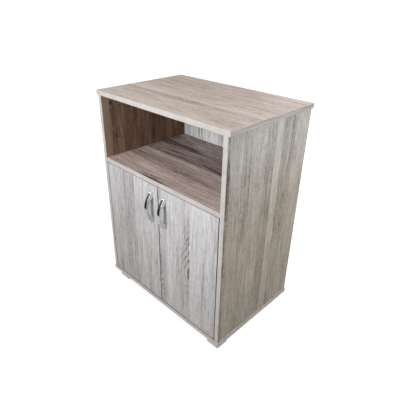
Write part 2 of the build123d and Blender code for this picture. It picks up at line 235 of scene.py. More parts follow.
def ramp(tree, factor, stops, blend="LINEAR"):
    """A colour ramp from (position, colour) stops."""
    node = add(tree, "ShaderNodeValToRGB", {0: factor})
    node.color_ramp.interpolation = blend
    elements = node.color_ramp.elements
    while len(elements) < len(stops):
        elements.new(1.0)
    for element, (position, colour) in zip(elements, stops):
        element.position = position
        element.color = colour
    return node.outputs[0]


def blend_colour(tree, factor, first, second, mode="MIX"):
    """Mix two colours."""
    sockets = {0: factor, 6: first, 7: second}
    return add(tree, "ShaderNodeMix", sockets, data_type="RGBA", blend_type=mode).outputs[2]


def new_finish(name):
    """A material with its main shader; returns material, tree, shader and Object coordinates."""
    material = bpy.data.materials.new(name)
    material.use_nodes = True
    tree = material.node_tree
    tree.nodes.clear()
    shader = add(tree, "ShaderNodeBsdfPrincipled")
    add(tree, "ShaderNodeOutputMaterial", {0: shader.outputs[0]})
    place = add(tree, "ShaderNodeTexCoord").outputs["Object"]
    return material, tree, shader, place


def bump(tree, shader, height, depth, strength=0.5):
    """Raise the surface by a height pattern of the given depth in metres."""
    raised = made(tree, "ShaderNodeBump", {"Height": height, "Distance": depth, "Strength": strength})
    tree.links.new(raised, shader.inputs["Normal"])


def new_group(name, kind, inputs, outputs):
    """An empty node group from tables of socket names and types; returns it and its inputs."""
    tree = bpy.data.node_groups.new(name, kind)
    for way, sockets in (("INPUT", inputs), ("OUTPUT", outputs)):
        for label, socket in sockets.items():
            tree.interface.new_socket(label, in_out=way, socket_type=f"NodeSocket{socket}")
    return tree, add(tree, "NodeGroupInput").outputs


print("ready: noise, ramps, mixes, bumps and groups")

# %% [markdown]
# ## The printed wood grain
# Melamine board is chipboard under a printed paper skin. The print shows sawn planks side by side,
# each with its own tone, long streaks, fine pores and faint saw marks across the grain. One node
# group draws the tone of the print from two lengths, across and along the grain, so that every
# board can use it with its own planks and seed. Noise stretched along the grain gives the streaks:
# a wave texture would repeat too evenly for wood. Several layers add up, from broad clouds to short
# flecks, because grain has marks of every size.

# %% Wood print group
# Each layer: noise scale across and along the grain, octaves, and its share of the tone
print_layers = {
    "mottle": (15.0, 5.0, 4.0, 0.34),
    "broad": (30.0, 1.8, 4.0, 0.50),
    "streak": (105.0, 5.0, 4.0, 0.60),
    "fine": (300.0, 11.0, 2.0, 0.85),
    "fleck": (430.0, 60.0, 1.0, 0.45),
}
layer_roughness = 0.62
middle_tone = 0.52
wander_scale = (8.0, 3.2, 1.0)
wander_reach = 28 * MM  # how far the grain strays sideways
pore_scale, pore_range = (520.0, 34.0, 1.0), (0.58, 0.74)
saw_scale = (60.0, 230.0, 1.0)
saw_patch_scale, saw_patch_range = (12.0, 4.0, 1.0), (0.40, 0.62)
pore_tone, flame_tone = -0.28, -0.26
pore_relief, tone_relief, saw_relief = -0.8, 0.4, 0.5


def make_print_group():
    """Node group: tone and relief of the printed grain."""
    names = ("Across", "Along", "Seed", "Plank tone", "Plank shift", "Flame", "Saw marks")
    tree, given = new_group("wood print", "ShaderNodeTree", dict.fromkeys(names, "Float"),
                            {"Tone": "Float", "Relief": "Float"})
    across, plank_shift = given["Across"], given["Plank shift"]

    # The streaks of one plank don't run on into the next
    along = maths(tree, "ADD", plank_shift, given["Along"])
    layer = maths(tree, "ADD", plank_shift, given["Seed"])
    place = point(tree, across, along, layer)
    wander = stretched_noise(tree, place, wander_scale, detail=2.0)
    bent = point(tree, times_plus(tree, wander, wander_reach, across), along, layer)
    tone = maths(tree, "ADD", given["Plank tone"], middle_tone)
    for scale_across, scale_along, octaves, share in print_layers.values():
        scale = (scale_across, scale_along, 1.0)
        part = stretched_noise(tree, bent, scale, detail=octaves, roughness=layer_roughness)
        tone = sway(tree, part, share, tone)
    pores = spread(tree, stretched_noise(tree, bent, pore_scale, detail=1.0), *pore_range)

    # Saw marks cross the grain, in patches
    saw = stretched_noise(tree, place, saw_scale, detail=3.0, roughness=0.7)
    patch = stretched_noise(tree, place, saw_patch_scale, detail=1.0)
    patch = spread(tree, patch, *saw_patch_range)
    marks = times(tree, maths(tree, "SUBTRACT", saw, 0.5), patch)
    marks = times(tree, marks, given["Saw marks"])

    tone = maths(tree, "ADD", marks, tone)
    tone = times_plus(tree, pores, pore_tone, tone)
    tone = times_plus(tree, given["Flame"], flame_tone, tone)
    relief = times_plus(tree, pores, pore_relief, times(tree, tone, tone_relief))
    relief = times_plus(tree, marks, saw_relief, relief)
    add(tree, "NodeGroupOutput", {"Tone": tone, "Relief": relief})
    return tree


wood_print = make_print_group()
print("wood print:", len(wood_print.nodes), "nodes")

# %% [markdown]
# Where a saw cuts close to the heart of a tree, the rings show as nested bows, a flame. On these
# boards half a flame leans against the edge of a plank. Its lines could be drawn as curves, but rings
# are easier to count: the group adds up the distances from a point on that edge, across the grain and
# along it, and a sine turns the count into dark lines. Strength darkens a whole flame, and Solid
# fills it in, which makes it a knot.

# %% Flame group
rings_across = 3.2  # from the plank's edge to the end of the flame
rings_along = 36.0  # in a metre of grain
ring_curve = 1.2
ring_wobble = 2.0
ring_line = (-0.5, 1.0)  # of the sine, from pale to dark
bow_of_rings = 22 * MM
flame_scale = (45.0, 9.0, 1.0)
edge_fade, reach_fade, tip_fade = (-0.02, 0.0), (1.0, 0.25), (1.0, 0.35)


def make_flame_group():
    """Node group: half a flame on one side of a plank's edge; a negative width leans left."""
    names = ("Across", "Along", "Edge", "Width", "Middle", "Length", "Strength", "Solid")
    tree, given = new_group("flame figure", "ShaderNodeTree", dict.fromkeys(names, "Float"),
                            {"Flame": "Float"})
    across, along = given["Across"], given["Along"]
    place = point(tree, across, along)
    rough = stretched_noise(tree, place, flame_scale, detail=5.0, roughness=0.7)
    reach = maths(tree, "DIVIDE", maths(tree, "SUBTRACT", across, given["Edge"]), given["Width"])
    height = maths(tree, "SUBTRACT", along, given["Middle"])
    curve = maths(tree, "POWER", maths(tree, "ABSOLUTE", reach), ring_curve)
    rings = times(tree, curve, rings_across)
    # Rounding the distance from the middle closes the rings in a bow, without a kink
    squared = times_plus(tree, height, height, bow_of_rings**2)
    rings = times_plus(tree, maths(tree, "SQRT", squared), rings_along, rings)
    rings = times_plus(tree, rough, ring_wobble, rings)
    wave = maths(tree, "SINE", times(tree, rings, 2 * math.pi))
    wave = maths(tree, "MAXIMUM", spread(tree, wave, *ring_line), given["Solid"])
    near = times(tree, spread(tree, reach, *reach_fade), spread(tree, reach, *edge_fade))
    tip = maths(tree, "DIVIDE", maths(tree, "ABSOLUTE", height), given["Length"])
    flame = times(tree, times(tree, wave, near), spread(tree, tip, *tip_fade))
    add(tree, "NodeGroupOutput", {"Flame": times(tree, flame, given["Strength"])})
    return tree


flame_figure = make_flame_group()
print("flame figure:", len(flame_figure.nodes), "nodes")

# %% [markdown]
# ## Raw board
# Under its print a board is pressed wood. Its chips could be modelled one by one, but they are too
# small for that, so each is a cell of a Voronoi pattern. Chips lie flat, so the pattern is squeezed
# along the board's thickness. The thin back is hardboard, whose raw rear keeps the weave of the wire
# screen that it was pressed on: two sines multiplied.

# %% Raw board
chip_scale, chip_scale_through = 340.0, 1100.0
chip_colours = ((0.0, (121, 92, 63)), (0.45, (176, 143, 104)), (1.0, (214, 187, 150)))
fibre_colours = ((0.45, (112, 80, 54)), (0.75, (146, 110, 78)), (1.0, (172, 136, 102)))
dust_scale, dust_share = even(1500.0), 0.5
fibre_scale = even(160.0)
cloud_scale, cloud_share = even(7.0), 0.5
screen_pitch = 2.2 * MM
screen_tone, screen_relief = 0.06, 0.4


def shades(stops):
    """Ramp stops from (position, screen colour) pairs."""
    return [(position, srgb(*colour)) for position, colour in stops]


def chipboard(tree, place, thickness):
    """Colour and relief of wood chips, pressed flat across the board's thickness."""
    scale = [chip_scale_through if axis == thickness else chip_scale for axis in AXES]
    chips = add(tree, "ShaderNodeTexVoronoi", {"Vector": scaled(tree, place, scale), "Scale": 1.0})
    tone = made(tree, "ShaderNodeSeparateColor", {0: chips.outputs["Color"]})
    tone = sway(tree, stretched_noise(tree, place, dust_scale), dust_share, tone)
    return ramp(tree, tone, shades(chip_colours)), tone


def hardboard(tree, place):
    """Colour and relief of the raw rear of a pressed fibre board."""
    axis = split(tree, place)
    turns = [times(tree, axis[i], 2 * math.pi / screen_pitch) for i in (0, 2)]
    screen = times(tree, *[maths(tree, "SINE", turn) for turn in turns])
    fibre = stretched_noise(tree, place, fibre_scale, detail=6.0, roughness=0.7)
    cloud = stretched_noise(tree, place, cloud_scale, detail=3.0)
    tone = times_plus(tree, screen, screen_tone, times_plus(tree, cloud, cloud_share, fibre))
    return ramp(tree, tone, shades(fibre_colours)), times_plus(tree, screen, screen_relief, fibre)


print("screen marks to a metre:", round(1 / screen_pitch))

# %% [markdown]
# ## Planks and their tones
# The planks could be separate pieces, but on the real board they are one printed sheet, so a ramp
# holds their tones. A row of planks is written as widths in millimetres, with a tone at each plank's
# two sides, and the ramp blends from side to side. A second ramp in steps shifts the print of each
# plank, so that streaks end at a joint.

# %% Planks
plank_step = 0.37  # shift from one plank to the next
deep_share = 0.62  # of the dark colour, for knots and flames
tone_stops = (0.0, 0.12, 0.5, 0.90)


def plank_tones(tree, across, start, planks, blur):
    """Tone of each plank across the board, and its shift; blur softens the joints, in mm."""
    total = sum(width for width, _, _ in planks)
    factor = spread(tree, across, start, start + total * MM)
    tones, shifts = [], []
    edge = 0.0
    for index, (width, left, right) in enumerate(planks):
        tones.append(((edge + blur) / total, grey(left + 0.5)))
        tones.append(((edge + width - blur) / total, grey(right + 0.5)))
        shifts.append((edge / total, grey(index * plank_step % 1.0)))
        edge += width
    tone = maths(tree, "SUBTRACT", ramp(tree, factor, tones), 0.5)
    return tone, ramp(tree, factor, shifts, "CONSTANT")


def tone_ramp(tree, tone, colours):
    """Colour of the print from its tone: (dark, middle, light), with a deeper shade below them."""
    deep = [deep_share * c for c in colours[0]]
    return ramp(tree, tone, shades(zip(tone_stops, (deep, *colours))))


def sum_of_flames(tree, across, along, start, flames):
    """The flames of a board, added up."""
    total = 0.0
    for edge, width, middle, length, strength, solid in flames:
        figure = add(tree, "ShaderNodeGroup", node_tree=flame_figure)
        fill(tree, figure, {"Across": across, "Along": along, "Edge": start + edge * MM,
                            "Width": width * MM, "Middle": middle * MM, "Length": length * MM,
                            "Strength": strength, "Solid": solid})
        total = maths(tree, "ADD", total, figure.outputs[0])
    return total


def tinted(tree, skin, value, low, high, stops):
    """Tint a print from low to high; each stop has factors for red, green and blue."""
    share = spread(tree, value, low, high)
    tint = ramp(tree, share, [(position, (*colour, 1.0)) for position, colour in stops])
    return blend_colour(tree, 1.0, skin, tint, "MULTIPLY")


print("tones run from", tone_stops[0], "to", tone_stops[-1])

# %% [markdown]
# ## Board: print outside, chips inside
# Only the two big faces of a board carry the print. Its sawn edges and drilled holes show the core.
# Each face could be given its own material, but the material can also find out by itself how deep a
# point lies in the board's thickness. The inner faces of the sides carry painted shade: browner in the
# bay, and darkest in the cupboard.

# %% Board finish
side_low, side_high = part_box("right_side_panel")
side_middle = (side_low.x + side_high.x) / 2
shelf_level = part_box("middle_shelf")[0].z
skin_depth = 0.25 * MM
print_relief, print_bump = 0.12 * MM, 0.7
rubbed_scale = even(22.0)
print_rough, rubbed_rough, core_rough = 0.48, 0.18, 0.35
print_gloss = 0.15


def make_board(node, grain, thickness, planks, colours, seed, blur=0.2, saw=0.5, flames=(),
               inner=None, tints=(), depth_tints=(), raw_back=False):
    """Finish of one board: grain and thickness axes, planks, (dark, middle, light) and seed."""
    material, tree, shader, place = new_finish(f"{node} print")
    axis = split(tree, place)
    long_axis, thin_axis = AXES[grain], AXES[thickness]
    wide_axis = sum(AXES.values()) - long_axis - thin_axis
    along, through, across = axis[long_axis], axis[thin_axis], axis[wide_axis]
    low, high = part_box(node)
    start = low[wide_axis]
    plank_tone, plank_shift = plank_tones(tree, across, start, planks, blur)
    picture = add(tree, "ShaderNodeGroup", node_tree=wood_print)
    fill(tree, picture, {"Across": across, "Along": along, "Seed": seed, "Saw marks": saw,
                         "Plank tone": plank_tone, "Plank shift": plank_shift,
                         "Flame": sum_of_flames(tree, across, along, start, flames)})
    tone = picture.outputs["Tone"]
    skin = tone_ramp(tree, tone, colours)
    # Painted shade on the inner faces of the sides: one colour set in the bay, a darker one in the
    # cupboard
    if inner is not None:
        in_bay = maths(tree, "GREATER_THAN", axis[AXES["z"]], shelf_level)
        inner_skin = blend_colour(tree, in_bay, *[tone_ramp(tree, tone, brown) for brown in inner])
        inside = maths(tree, "LESS_THAN", maths(tree, "ABSOLUTE", through), side_middle)
        skin = blend_colour(tree, inside, skin, inner_skin)
    # On the sides and doors these tints are painted shade towards the foot
    if tints:
        skin = tinted(tree, skin, along, low[long_axis], high[long_axis], tints)
    if depth_tints:
        skin = tinted(tree, skin, across, start, high[wide_axis], depth_tints)

    core, core_relief = hardboard(tree, place) if raw_back else chipboard(tree, place, thickness)
    half = (high[thin_axis] - low[thin_axis]) / 2
    depth = maths(tree, "SUBTRACT", through, (high[thin_axis] + low[thin_axis]) / 2)
    if raw_back:
        # A back board carries the print on its front only
        is_skin = maths(tree, "LESS_THAN", depth, skin_depth - half)
    else:
        is_skin = maths(tree, "GREATER_THAN", maths(tree, "ABSOLUTE", depth), half - skin_depth)
    rubbed = stretched_noise(tree, place, rubbed_scale, detail=4.0)
    polish = times_plus(tree, rubbed, rubbed_rough, print_rough)
    polish = times_plus(tree, maths(tree, "SUBTRACT", 1.0, is_skin), core_rough, polish)
    fill(tree, shader, {"Base Color": blend_colour(tree, is_skin, core, skin), "Roughness": polish,
                        "Specular IOR Level": print_gloss})
    relief = made(tree, "ShaderNodeMix", {0: is_skin, 2: core_relief, 3: picture.outputs["Relief"]})
    bump(tree, shader, relief, print_relief, print_bump)
    return material


def dress(node, material):
    """Give a model node its finish."""
    slots = nodes[node].data.materials
    slots.clear()
    slots.append(material)


print("shelf level:", round(shelf_level, 3), "half width:", round(side_high.x, 3))

# %% [markdown]
# ## The boards, one by one
# The upright boards are greyer and the lying ones warmer, as in the photograph. This is partly the print
# of each board and partly painted light: warm light from above on the lying boards, cooler light at the
# front and shade on the sides. Left to right, or front to back, each row lists the planks that the
# photograph shows on that board: width, then the tone at its two sides.

# %% Colours and planks
back_grey = ((138, 135, 136), (203, 201, 203), (234, 234, 236))
pale_grey = ((132, 126, 124), (188, 184, 184), (222, 221, 222))
brown_grey = ((131, 125, 117), (181, 177, 171), (212, 210, 207))
# Painted shade: the colours of the sides' inner faces in the bay and, darker, in the cupboard
painted_bay_shade = ((80, 58, 46), (142, 115, 98), (194, 168, 148))
painted_cupboard_shade = ((60, 45, 36), (108, 88, 75), (150, 130, 115))
warm_beige = ((142, 124, 114), (187, 172, 162), (218, 205, 196))
shelf_beige = ((92, 76, 70), (190, 170, 162), (238, 221, 213))

right_side_planks = [
    (14, -0.22, -0.16), (53, -0.02, -0.05), (40, -0.11, -0.08), (69, 0.01, 0.0),
    (46, -0.10, -0.12), (36, 0.11, 0.10), (57, -0.10, -0.08), (84, 0.04, 0.06),
]
# The left side's tones are partly print and partly painted light and shade: lighter at the front, darker
# towards the rear
left_side_planks_and_bay_shade = [
    (28, 0.46, 0.40), (56, 0.08, 0.14), (58, 0.06, -0.02), (76, -0.06, -0.02),
    (44, -0.16, -0.1), (66, -0.04, -0.08), (71, -0.14, -0.1),
]
top_planks = [
    (70, 0.03, 0.05), (52, 0.01, -0.03), (18, -0.14, -0.10), (56, 0.10, 0.06),
    (60, -0.02, -0.06), (72, -0.08, -0.06), (76, -0.10, -0.07),
]
# The dark 8 mm plank at the front is painted shade for the gap under the doors
bottom_planks_and_gap_shade = [
    (8, -0.4, -0.4), (96, 0.05, 0.0), (84, -0.04, 0.02), (70, 0.06, 0.0), (84, -0.06, 0.0),
    (60, 0.04, -0.02),
]
shelf_planks = [
    (92, 0.12, 0.09), (24, -0.04, -0.08), (44, -0.03, -0.06), (26, 0.03, 0.0), (24, -0.25, -0.22),
    (56, -0.12, -0.15), (30, -0.26, -0.22), (50, -0.14, -0.16), (53, -0.18, -0.16),
]
left_door_planks = [(72, 0.01, -0.03), (84, -0.05, -0.12), (52, 0.10, 0.07), (79, 0.04, 0.0)]
right_door_planks = [
    (36, -0.02, 0.03), (62, 0.09, 0.06), (52, 0.08, -0.02), (58, 0.18, 0.16), (63, 0.09, 0.06),
]
back_planks = [
    (90, 0.02, -0.04), (120, 0.06, 0.1), (95, -0.08, 0.0), (110, 0.04, 0.0), (95, -0.04, 0.05),
    (90, 0.06, 0.0),
]
print("planks on the right side:", len(right_side_planks), "and on its door:", len(right_door_planks))

# %% [markdown]
# A flame is written as the place of its plank's edge, its width, its middle and its length along the
# grain, all in millimetres, then its strength and how solid it is. Tints change the tone along a board:
# on the upright boards they are painted shade, darker and browner at the foot, and the shelf is greyer
# at the back.

# %% Dress the boards
plain = (1.0, 1.0, 1.0)
# Painted shade towards the foot: the sides turn darker and browner, the doors darker
side_foot_shade = [
    (0.0, (0.79, 0.73, 0.65)), (0.55, (0.85, 0.79, 0.71)), (0.72, (0.90, 0.87, 0.82)), (0.95, plain),
]
door_foot_shade = [(0.0, (0.90, 0.88, 0.86)), (1.0, plain)]
shelf_depth = [(0.0, (1.03, 1.01, 1.0)), (0.45, (0.97, 0.98, 0.98)), (1.0, (0.93, 0.98, 1.02))]
top_flames = [(142.0, -36.0, 10.0, 130.0, 1.0, 0.2)]
shelf_flames = [
    (0.0, 17.0, -22.0, 105.0, 2.6, 0.75), (302.0, -36.0, -190.0, 150.0, 1.6, 0.3),
    (212.0, -26.0, 60.0, 230.0, 0.8, 0.0),
]
side_flames = [(330.0, -44.0, 690.0, 120.0, 1.0, 0.0), (3.0, 15.0, 625.0, 110.0, 2.6, 0.2)]
door_flames = [(149.6, -50.0, 250.0, 230.0, 1.5, 0.2), (0.0, 44.0, 190.0, 170.0, 1.1, 0.0)]
back_flames = [(130.0, -56.0, 575.0, 160.0, 2.0, 0.0)]
lying = dict(grain="x", thickness="z")
shelf = dict(lying, colours=shelf_beige)
side = dict(grain="z", thickness="x", colours=brown_grey, inner=(painted_cupboard_shade, painted_bay_shade), blur=2,
            saw=0.8, tints=side_foot_shade)
door = dict(grain="z", thickness="y", colours=pale_grey, saw=0.4, tints=door_foot_shade)
boards = {
    "top_panel": dict(lying, colours=warm_beige, planks=top_planks, seed=1.7, blur=5, flames=top_flames),
    "bottom_panel": dict(shelf, planks=bottom_planks_and_gap_shade, seed=6.1, blur=5),
    "middle_shelf": dict(shelf, planks=shelf_planks, seed=3.3, blur=3, depth_tints=shelf_depth,
                         flames=shelf_flames),
    "inner_shelf": dict(shelf, planks=shelf_planks, seed=9.4, blur=6),
    "left_side_panel": dict(side, planks=left_side_planks_and_bay_shade, seed=4.2),
    "right_side_panel": dict(side, planks=right_side_planks, seed=2.6, flames=side_flames),
    "left_door": dict(door, planks=left_door_planks, seed=5.5),
    "right_door": dict(door, planks=right_door_planks, seed=7.9, flames=door_flames),
    "back_panel": dict(grain="z", thickness="y", colours=back_grey, planks=back_planks, seed=8.3,
                       raw_back=True, flames=back_flames),
}
for node, finish in boards.items():
    dress(node, make_board(node, **finish))
print("boards dressed:", len(boards))

# %% [markdown]
# ## Metals and plastics
# The handles are chrome, the hinges and screws are plated steel, the cams are cast zinc, and the feet
# and catches are moulded plastic. One shader with one roughness would do for each, but it would look
# like a perfect mirror or like wax. So noise makes the roughness uneven, and a faint bump breaks up
# the reflections. The dowels are beech, which takes the plastics' tree in the colours of wood.

# %% Metals and plastics
metal_dark_share = 0.9
mottle_scale, mottle_detail, mottle_roughness = even(40.0), 5.0, 0.65
speck_share, speck_rough = 0.35, 0.14


def make_metal(name, colour, rough, uneven, grain, relief):
    """Metal with uneven polish: grain is the noise scale, relief the bump depth in metres."""
    material, tree, shader, place = new_finish(name)
    cloud = stretched_noise(tree, place, grain, detail=4.0)
    dark = [c * metal_dark_share for c in colour]
    fill(tree, shader, {"Base Color": ramp(tree, cloud, shades(((0.25, dark), (0.75, colour)))),
                        "Roughness": times_plus(tree, cloud, uneven, rough - uneven / 2),
                        "Metallic": 1.0})
    bump(tree, shader, cloud, relief)
    return material


def mottled(tree, place):
    """Soft mottle of a moulded or rolled plastic."""
    return stretched_noise(tree, place, mottle_scale, detail=mottle_detail, roughness=mottle_roughness)


def make_plastic(name, dark, light, rough, grain):
    """Moulded plastic with a faint mottle and a fine surface grain."""
    material, tree, shader, place = new_finish(name)
    speck = stretched_noise(tree, place, grain, detail=2.0)
    tone = sway(tree, speck, speck_share, mottled(tree, place))
    fill(tree, shader, {"Base Color": ramp(tree, tone, shades(((0.25, dark), (0.75, light)))),
                        "Roughness": times_plus(tree, speck, speck_rough, rough - speck_rough / 2)})
    bump(tree, shader, speck, 0.03 * MM)
    return material


drawn_grain, dowel_grain = (180.0, 180.0, 900.0), (300.0, 300.0, 1400.0)
chrome = make_metal("polished chrome", (226, 228, 230), 0.07, 0.06, even(60.0), 0.004 * MM)
steel = make_metal("nickel plated steel", (205, 204, 198), 0.26, 0.14, drawn_grain, 0.01 * MM)
zinc = make_metal("cast zinc", (124, 104, 92), 0.42, 0.2, even(700.0), 0.03 * MM)
foot_plastic = make_plastic("foot plastic", (186, 189, 189), (211, 214, 214), 0.5, even(1200.0))
catch_plastic = make_plastic("catch plastic", (214, 211, 203), (232, 229, 222), 0.45, even(1200.0))
beech = make_plastic("beech dowel", (176, 132, 84), (212, 172, 122), 0.6, dowel_grain)
print("finishes:", len(bpy.data.materials))

# %% [markdown]
# ## Edge strips
# A thin strip is glued on each sawn edge that shows. In the photograph it is paler than the boards from
# the front, while its narrow flanks go on with the print of the board. Two materials would need the
# faces sorted, so one material looks at which way a face points: pale to the front, the board's print to
# the sides, and painted shade on the flanks towards the middle of the cabinet, browner in the bay and
# darker in the cupboard. The strips round the doors have painted shade on their flanks, which keeps the
# narrow gaps between the doors and the sides dark.

# %% Edge strips
pale_strip = ((180, 174, 170), (208, 202, 198))
end_print = ((120, 114, 106), (172, 168, 161), (206, 203, 198))
# Painted shade for the flanks of the door strips, which keeps the gaps round the doors dark
painted_gap_shade = ((50, 45, 41), (76, 70, 65), (104, 98, 92))
upright_grain, lying_grain = (420.0, 420.0, 9.0), (9.0, 9.0, 420.0)
strip_stops = (0.2, 0.5, 0.8)
streak_share = 0.5
flank_range = (0.6, 0.9)  # of the sideways part of a face's direction
strip_rough, strip_mottle_rough, strip_gloss = 0.36, 0.16, 0.3


def make_edging(name, grain, ends, low_inner, high_inner):
    """Glued edge strip: pale in front, with the colours given on its flanks: a board's print on some,
    painted shade on others.

    The flank colours are given for the outer flanks and for the ones towards the middle of the cabinet,
    in the cupboard and in the bay above it.
    """
    material, tree, shader, place = new_finish(name)
    mottle = mottled(tree, place)
    streak = stretched_noise(tree, place, grain, detail=4.0)
    tone = sway(tree, streak, streak_share, mottle)
    pale = ramp(tree, tone, shades(zip((strip_stops[0], strip_stops[-1]), pale_strip)))
    outer, low, high = [ramp(tree, streak, shades(zip(strip_stops, colours)))
                        for colours in (ends, low_inner, high_inner)]
    facing = split(tree, add(tree, "ShaderNodeNewGeometry").outputs["Normal"])
    axis = split(tree, place)
    inwards = maths(tree, "LESS_THAN", times(tree, facing[0], axis[0]), 0.0)
    inner = blend_colour(tree, maths(tree, "GREATER_THAN", axis[2], shelf_level), low, high)
    flank_print_and_shade = blend_colour(tree, inwards, outer, inner)
    flank = spread(tree, maths(tree, "ABSOLUTE", facing[0]), *flank_range)
    fill(tree, shader, {"Base Color": blend_colour(tree, flank, pale, flank_print_and_shade),
                        "Roughness": times_plus(tree, mottle, strip_mottle_rough, strip_rough),
                        "Specular IOR Level": strip_gloss})
    bump(tree, shader, streak, 0.02 * MM)
    return material


# The door strips get painted shade on their side flanks, the side strips on their inner flanks
strips = {
    "door": make_edging("door edge strip", upright_grain, painted_gap_shade, painted_gap_shade, painted_gap_shade),
    "side": make_edging("side edge strip", upright_grain, end_print, painted_cupboard_shade, painted_bay_shade),
    "": make_edging("lying edge strip", lying_grain, end_print, end_print, end_print),
}
print("edge strip finishes:", len(strips))

# %% [markdown]
# The last word of a node's name says what kind of piece it is, which is enough to choose its finish.
# Everything that isn't listed is plated steel: hinges, plates, screws, bolts, pins and nails.

# %% Dress the other pieces
plain_finishes = {
    "handle": chrome, "foot": foot_plastic, "catch": catch_plastic, "dowels": beech, "locks": zinc,
}
others = [node for node in nodes if node not in boards]
for node in others:
    kind = node.split("_")[-1]
    if kind == "edging":
        dress(node, next(strip for word, strip in strips.items() if word in node))
    else:
        dress(node, plain_finishes.get(kind, steel))
print("other pieces dressed:", len(others))

# %% [markdown]
# ## Rounded edges
# A strip of edging is trimmed with a small radius after it is glued on, and a moulded foot has no
# sharp edge either. A bump could fake the highlight, but not the outline, so such a piece is a merged
# copy of its model node with a Bevel modifier. On the strips only the outer edges are rounded,
# because the inner ones lie flush against the board: a weight on those edges tells the modifier which
# ones to take.

# %% Softened copies
bodies = frame["record"]["behaviour"]["bodies"]
body_of = {node: body for body, members in bodies.items() for node in members}
weld_distance = 0.001 * MM
flat_angle, sharp_angle = math.radians(0.5), math.radians(40)
bevel_segments = 2


def stand_for(piece, node):
    """Let a new piece take the place of a model node, on the same body."""
    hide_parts(node)
    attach(piece, body_of[node])


def welded_copy(node):
    """The node's mesh as a bmesh with its loose triangles joined."""
    shape = bmesh.new()
    shape.from_mesh(nodes[node].data)
    bmesh.ops.remove_doubles(shape, verts=shape.verts, dist=weld_distance)
    return shape


def merged_copy(node):
    """A welded copy with its triangles merged into whole faces."""
    shape = welded_copy(node)
    bmesh.ops.dissolve_limit(shape, angle_limit=flat_angle, verts=shape.verts, edges=shape.edges)
    return shape


def to_piece(shape, name, material):
    """A new object from a bmesh."""
    mesh = bpy.data.meshes.new(name)
    shape.to_mesh(mesh)
    shape.free()
    mesh.materials.append(material)
    return new_object(name, mesh)


def round_edges(piece, radius, method):
    """Bevel the edges that have a weight, or all that are sharp."""
    rounding = piece.modifiers.new("rounding", "BEVEL")
    rounding.limit_method = method
    rounding.angle_limit = sharp_angle
    rounding.width = radius
    rounding.segments = bevel_segments


print("bodies:", {body: len(members) for body, members in bodies.items()})

# %% [markdown]
# A strip's outward sides are its front, and its two ends where it isn't held between other boards. On
# a door the strip goes round, so its outward sides are the four flanks of the door.

# %% Trim the strips
FRONT, LEFT, RIGHT, DOWN, UP = (1, -1), (0, -1), (0, 1), (2, -1), (2, 1)
strip_sides = {"door": (LEFT, RIGHT, DOWN, UP), "top": (FRONT, LEFT, RIGHT),
               "bottom": (FRONT, LEFT, RIGHT), "": (FRONT,)}
trim_radius = 0.6 * MM
on_plane = 0.01 * MM


def outer_edges(shape, low, high, outward):
    """Edges where an outward face of a strip meets another side of its box."""
    planes = [(axis, limit[axis], way) for axis in range(3) for limit, way in ((low, -1), (high, 1))]
    for edge in shape.edges:
        on = [(axis, way) for axis, level, way in planes
              if all(abs(v.co[axis] - level) < on_plane for v in edge.verts)]
        if len(on) > 1 and any(side in outward for side in on):
            yield edge


def soften_strip(node, outward):
    """Edge strip with its outer edges trimmed round."""
    shape = merged_copy(node)
    weights = shape.edges.layers.float.new("bevel_weight_edge")
    chosen = list(outer_edges(shape, *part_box(node), outward))
    for edge in chosen:
        edge[weights] = 1.0
    piece = to_piece(shape, f"{node}_trimmed", nodes[node].data.materials[0])
    round_edges(piece, trim_radius, "WEIGHT")
    stand_for(piece, node)
    return len(chosen)


for node in [n for n in nodes if n.endswith("_edging")]:
    outward = next(sides for word, sides in strip_sides.items() if word in node)
    print(node, "trimmed edges:", soften_strip(node, outward))

# %% [markdown]
# Feet and catches are small mouldings. Here every sharp edge may be rounded, so the modifier finds
# the edges by their angle.

# %% Soften the mouldings
moulding_radius = {"foot": 0.4 * MM, "catch": 0.5 * MM}


def soften_moulding(node, radius):
    """Moulded piece with all its sharp edges rounded."""
    piece = to_piece(merged_copy(node), f"{node}_moulded", nodes[node].data.materials[0])
    round_edges(piece, radius, "ANGLE")
    stand_for(piece, node)


for node in nodes:
    kind = node.split("_")[-1]
    if kind in moulding_radius:
        soften_moulding(node, moulding_radius[kind])
        print(node, "rounded by", round(moulding_radius[kind] / MM, 1), "mm")

# %% [markdown]
# ## Bow handles
# A bow handle is a bar bent between two arcs, thick at its two feet and slim in the middle. A bevelled
# curve would have the same section all along, so the mesh is a row of rounded sections from the lower
# end to the upper one. Each section joins a point on the outer arc to one on the inner outline, which
# is an arc with a flat foot at each end. Soft corners catch long highlights that sharp ones can't.

# %% Outline of a bow
bow_bar = 7.0 * MM
bow_end = 4.5 * MM
bow_screw_spacing = 96.0 * MM
bow_end_round = 4.3 * MM
bow_corner, bow_corner_limit = 0.9 * MM, 0.45
bow_foot_share = 0.2
bow_arc_share = 1 - bow_foot_share
bow_steps = 80
corner_steps = 5
bow_sharp_angle = math.radians(35)


def arc_point(half, rise, share):
    """Point on an arc of a given half chord and rise; share runs from -1 to 1."""
    radius = (half * half + rise * rise) / (2 * rise)
    turn = math.asin(half / radius) * share
    return radius * math.sin(turn), radius * math.cos(turn) - (radius - rise)


def end_drop(left):
    """How far a rounded end has fallen, with some length left before its end."""
    reach = max(0.0, bow_end_round - left)
    return bow_end_round - math.sqrt(bow_end_round**2 - reach**2)


def bow_outline(half, rise):
    """Pairs of points (along, out) on the inner and outer outline, from end to end."""
    inner_half = bow_screw_spacing - half
    for step in range(bow_steps + 1):
        share = math.sin(math.pi * (step / bow_steps - 0.5))
        on_arc = max(-1.0, min(1.0, share / bow_arc_share))
        on_foot = (share - on_arc * bow_arc_share) / bow_foot_share
        outer = Vector(arc_point(half, rise - bow_end, share))
        outer.y += bow_end - end_drop(half - abs(outer.x))
        inner = Vector(arc_point(inner_half, rise - bow_bar, on_arc))
        inner.x += on_foot * (half - inner_half)
        yield inner, outer


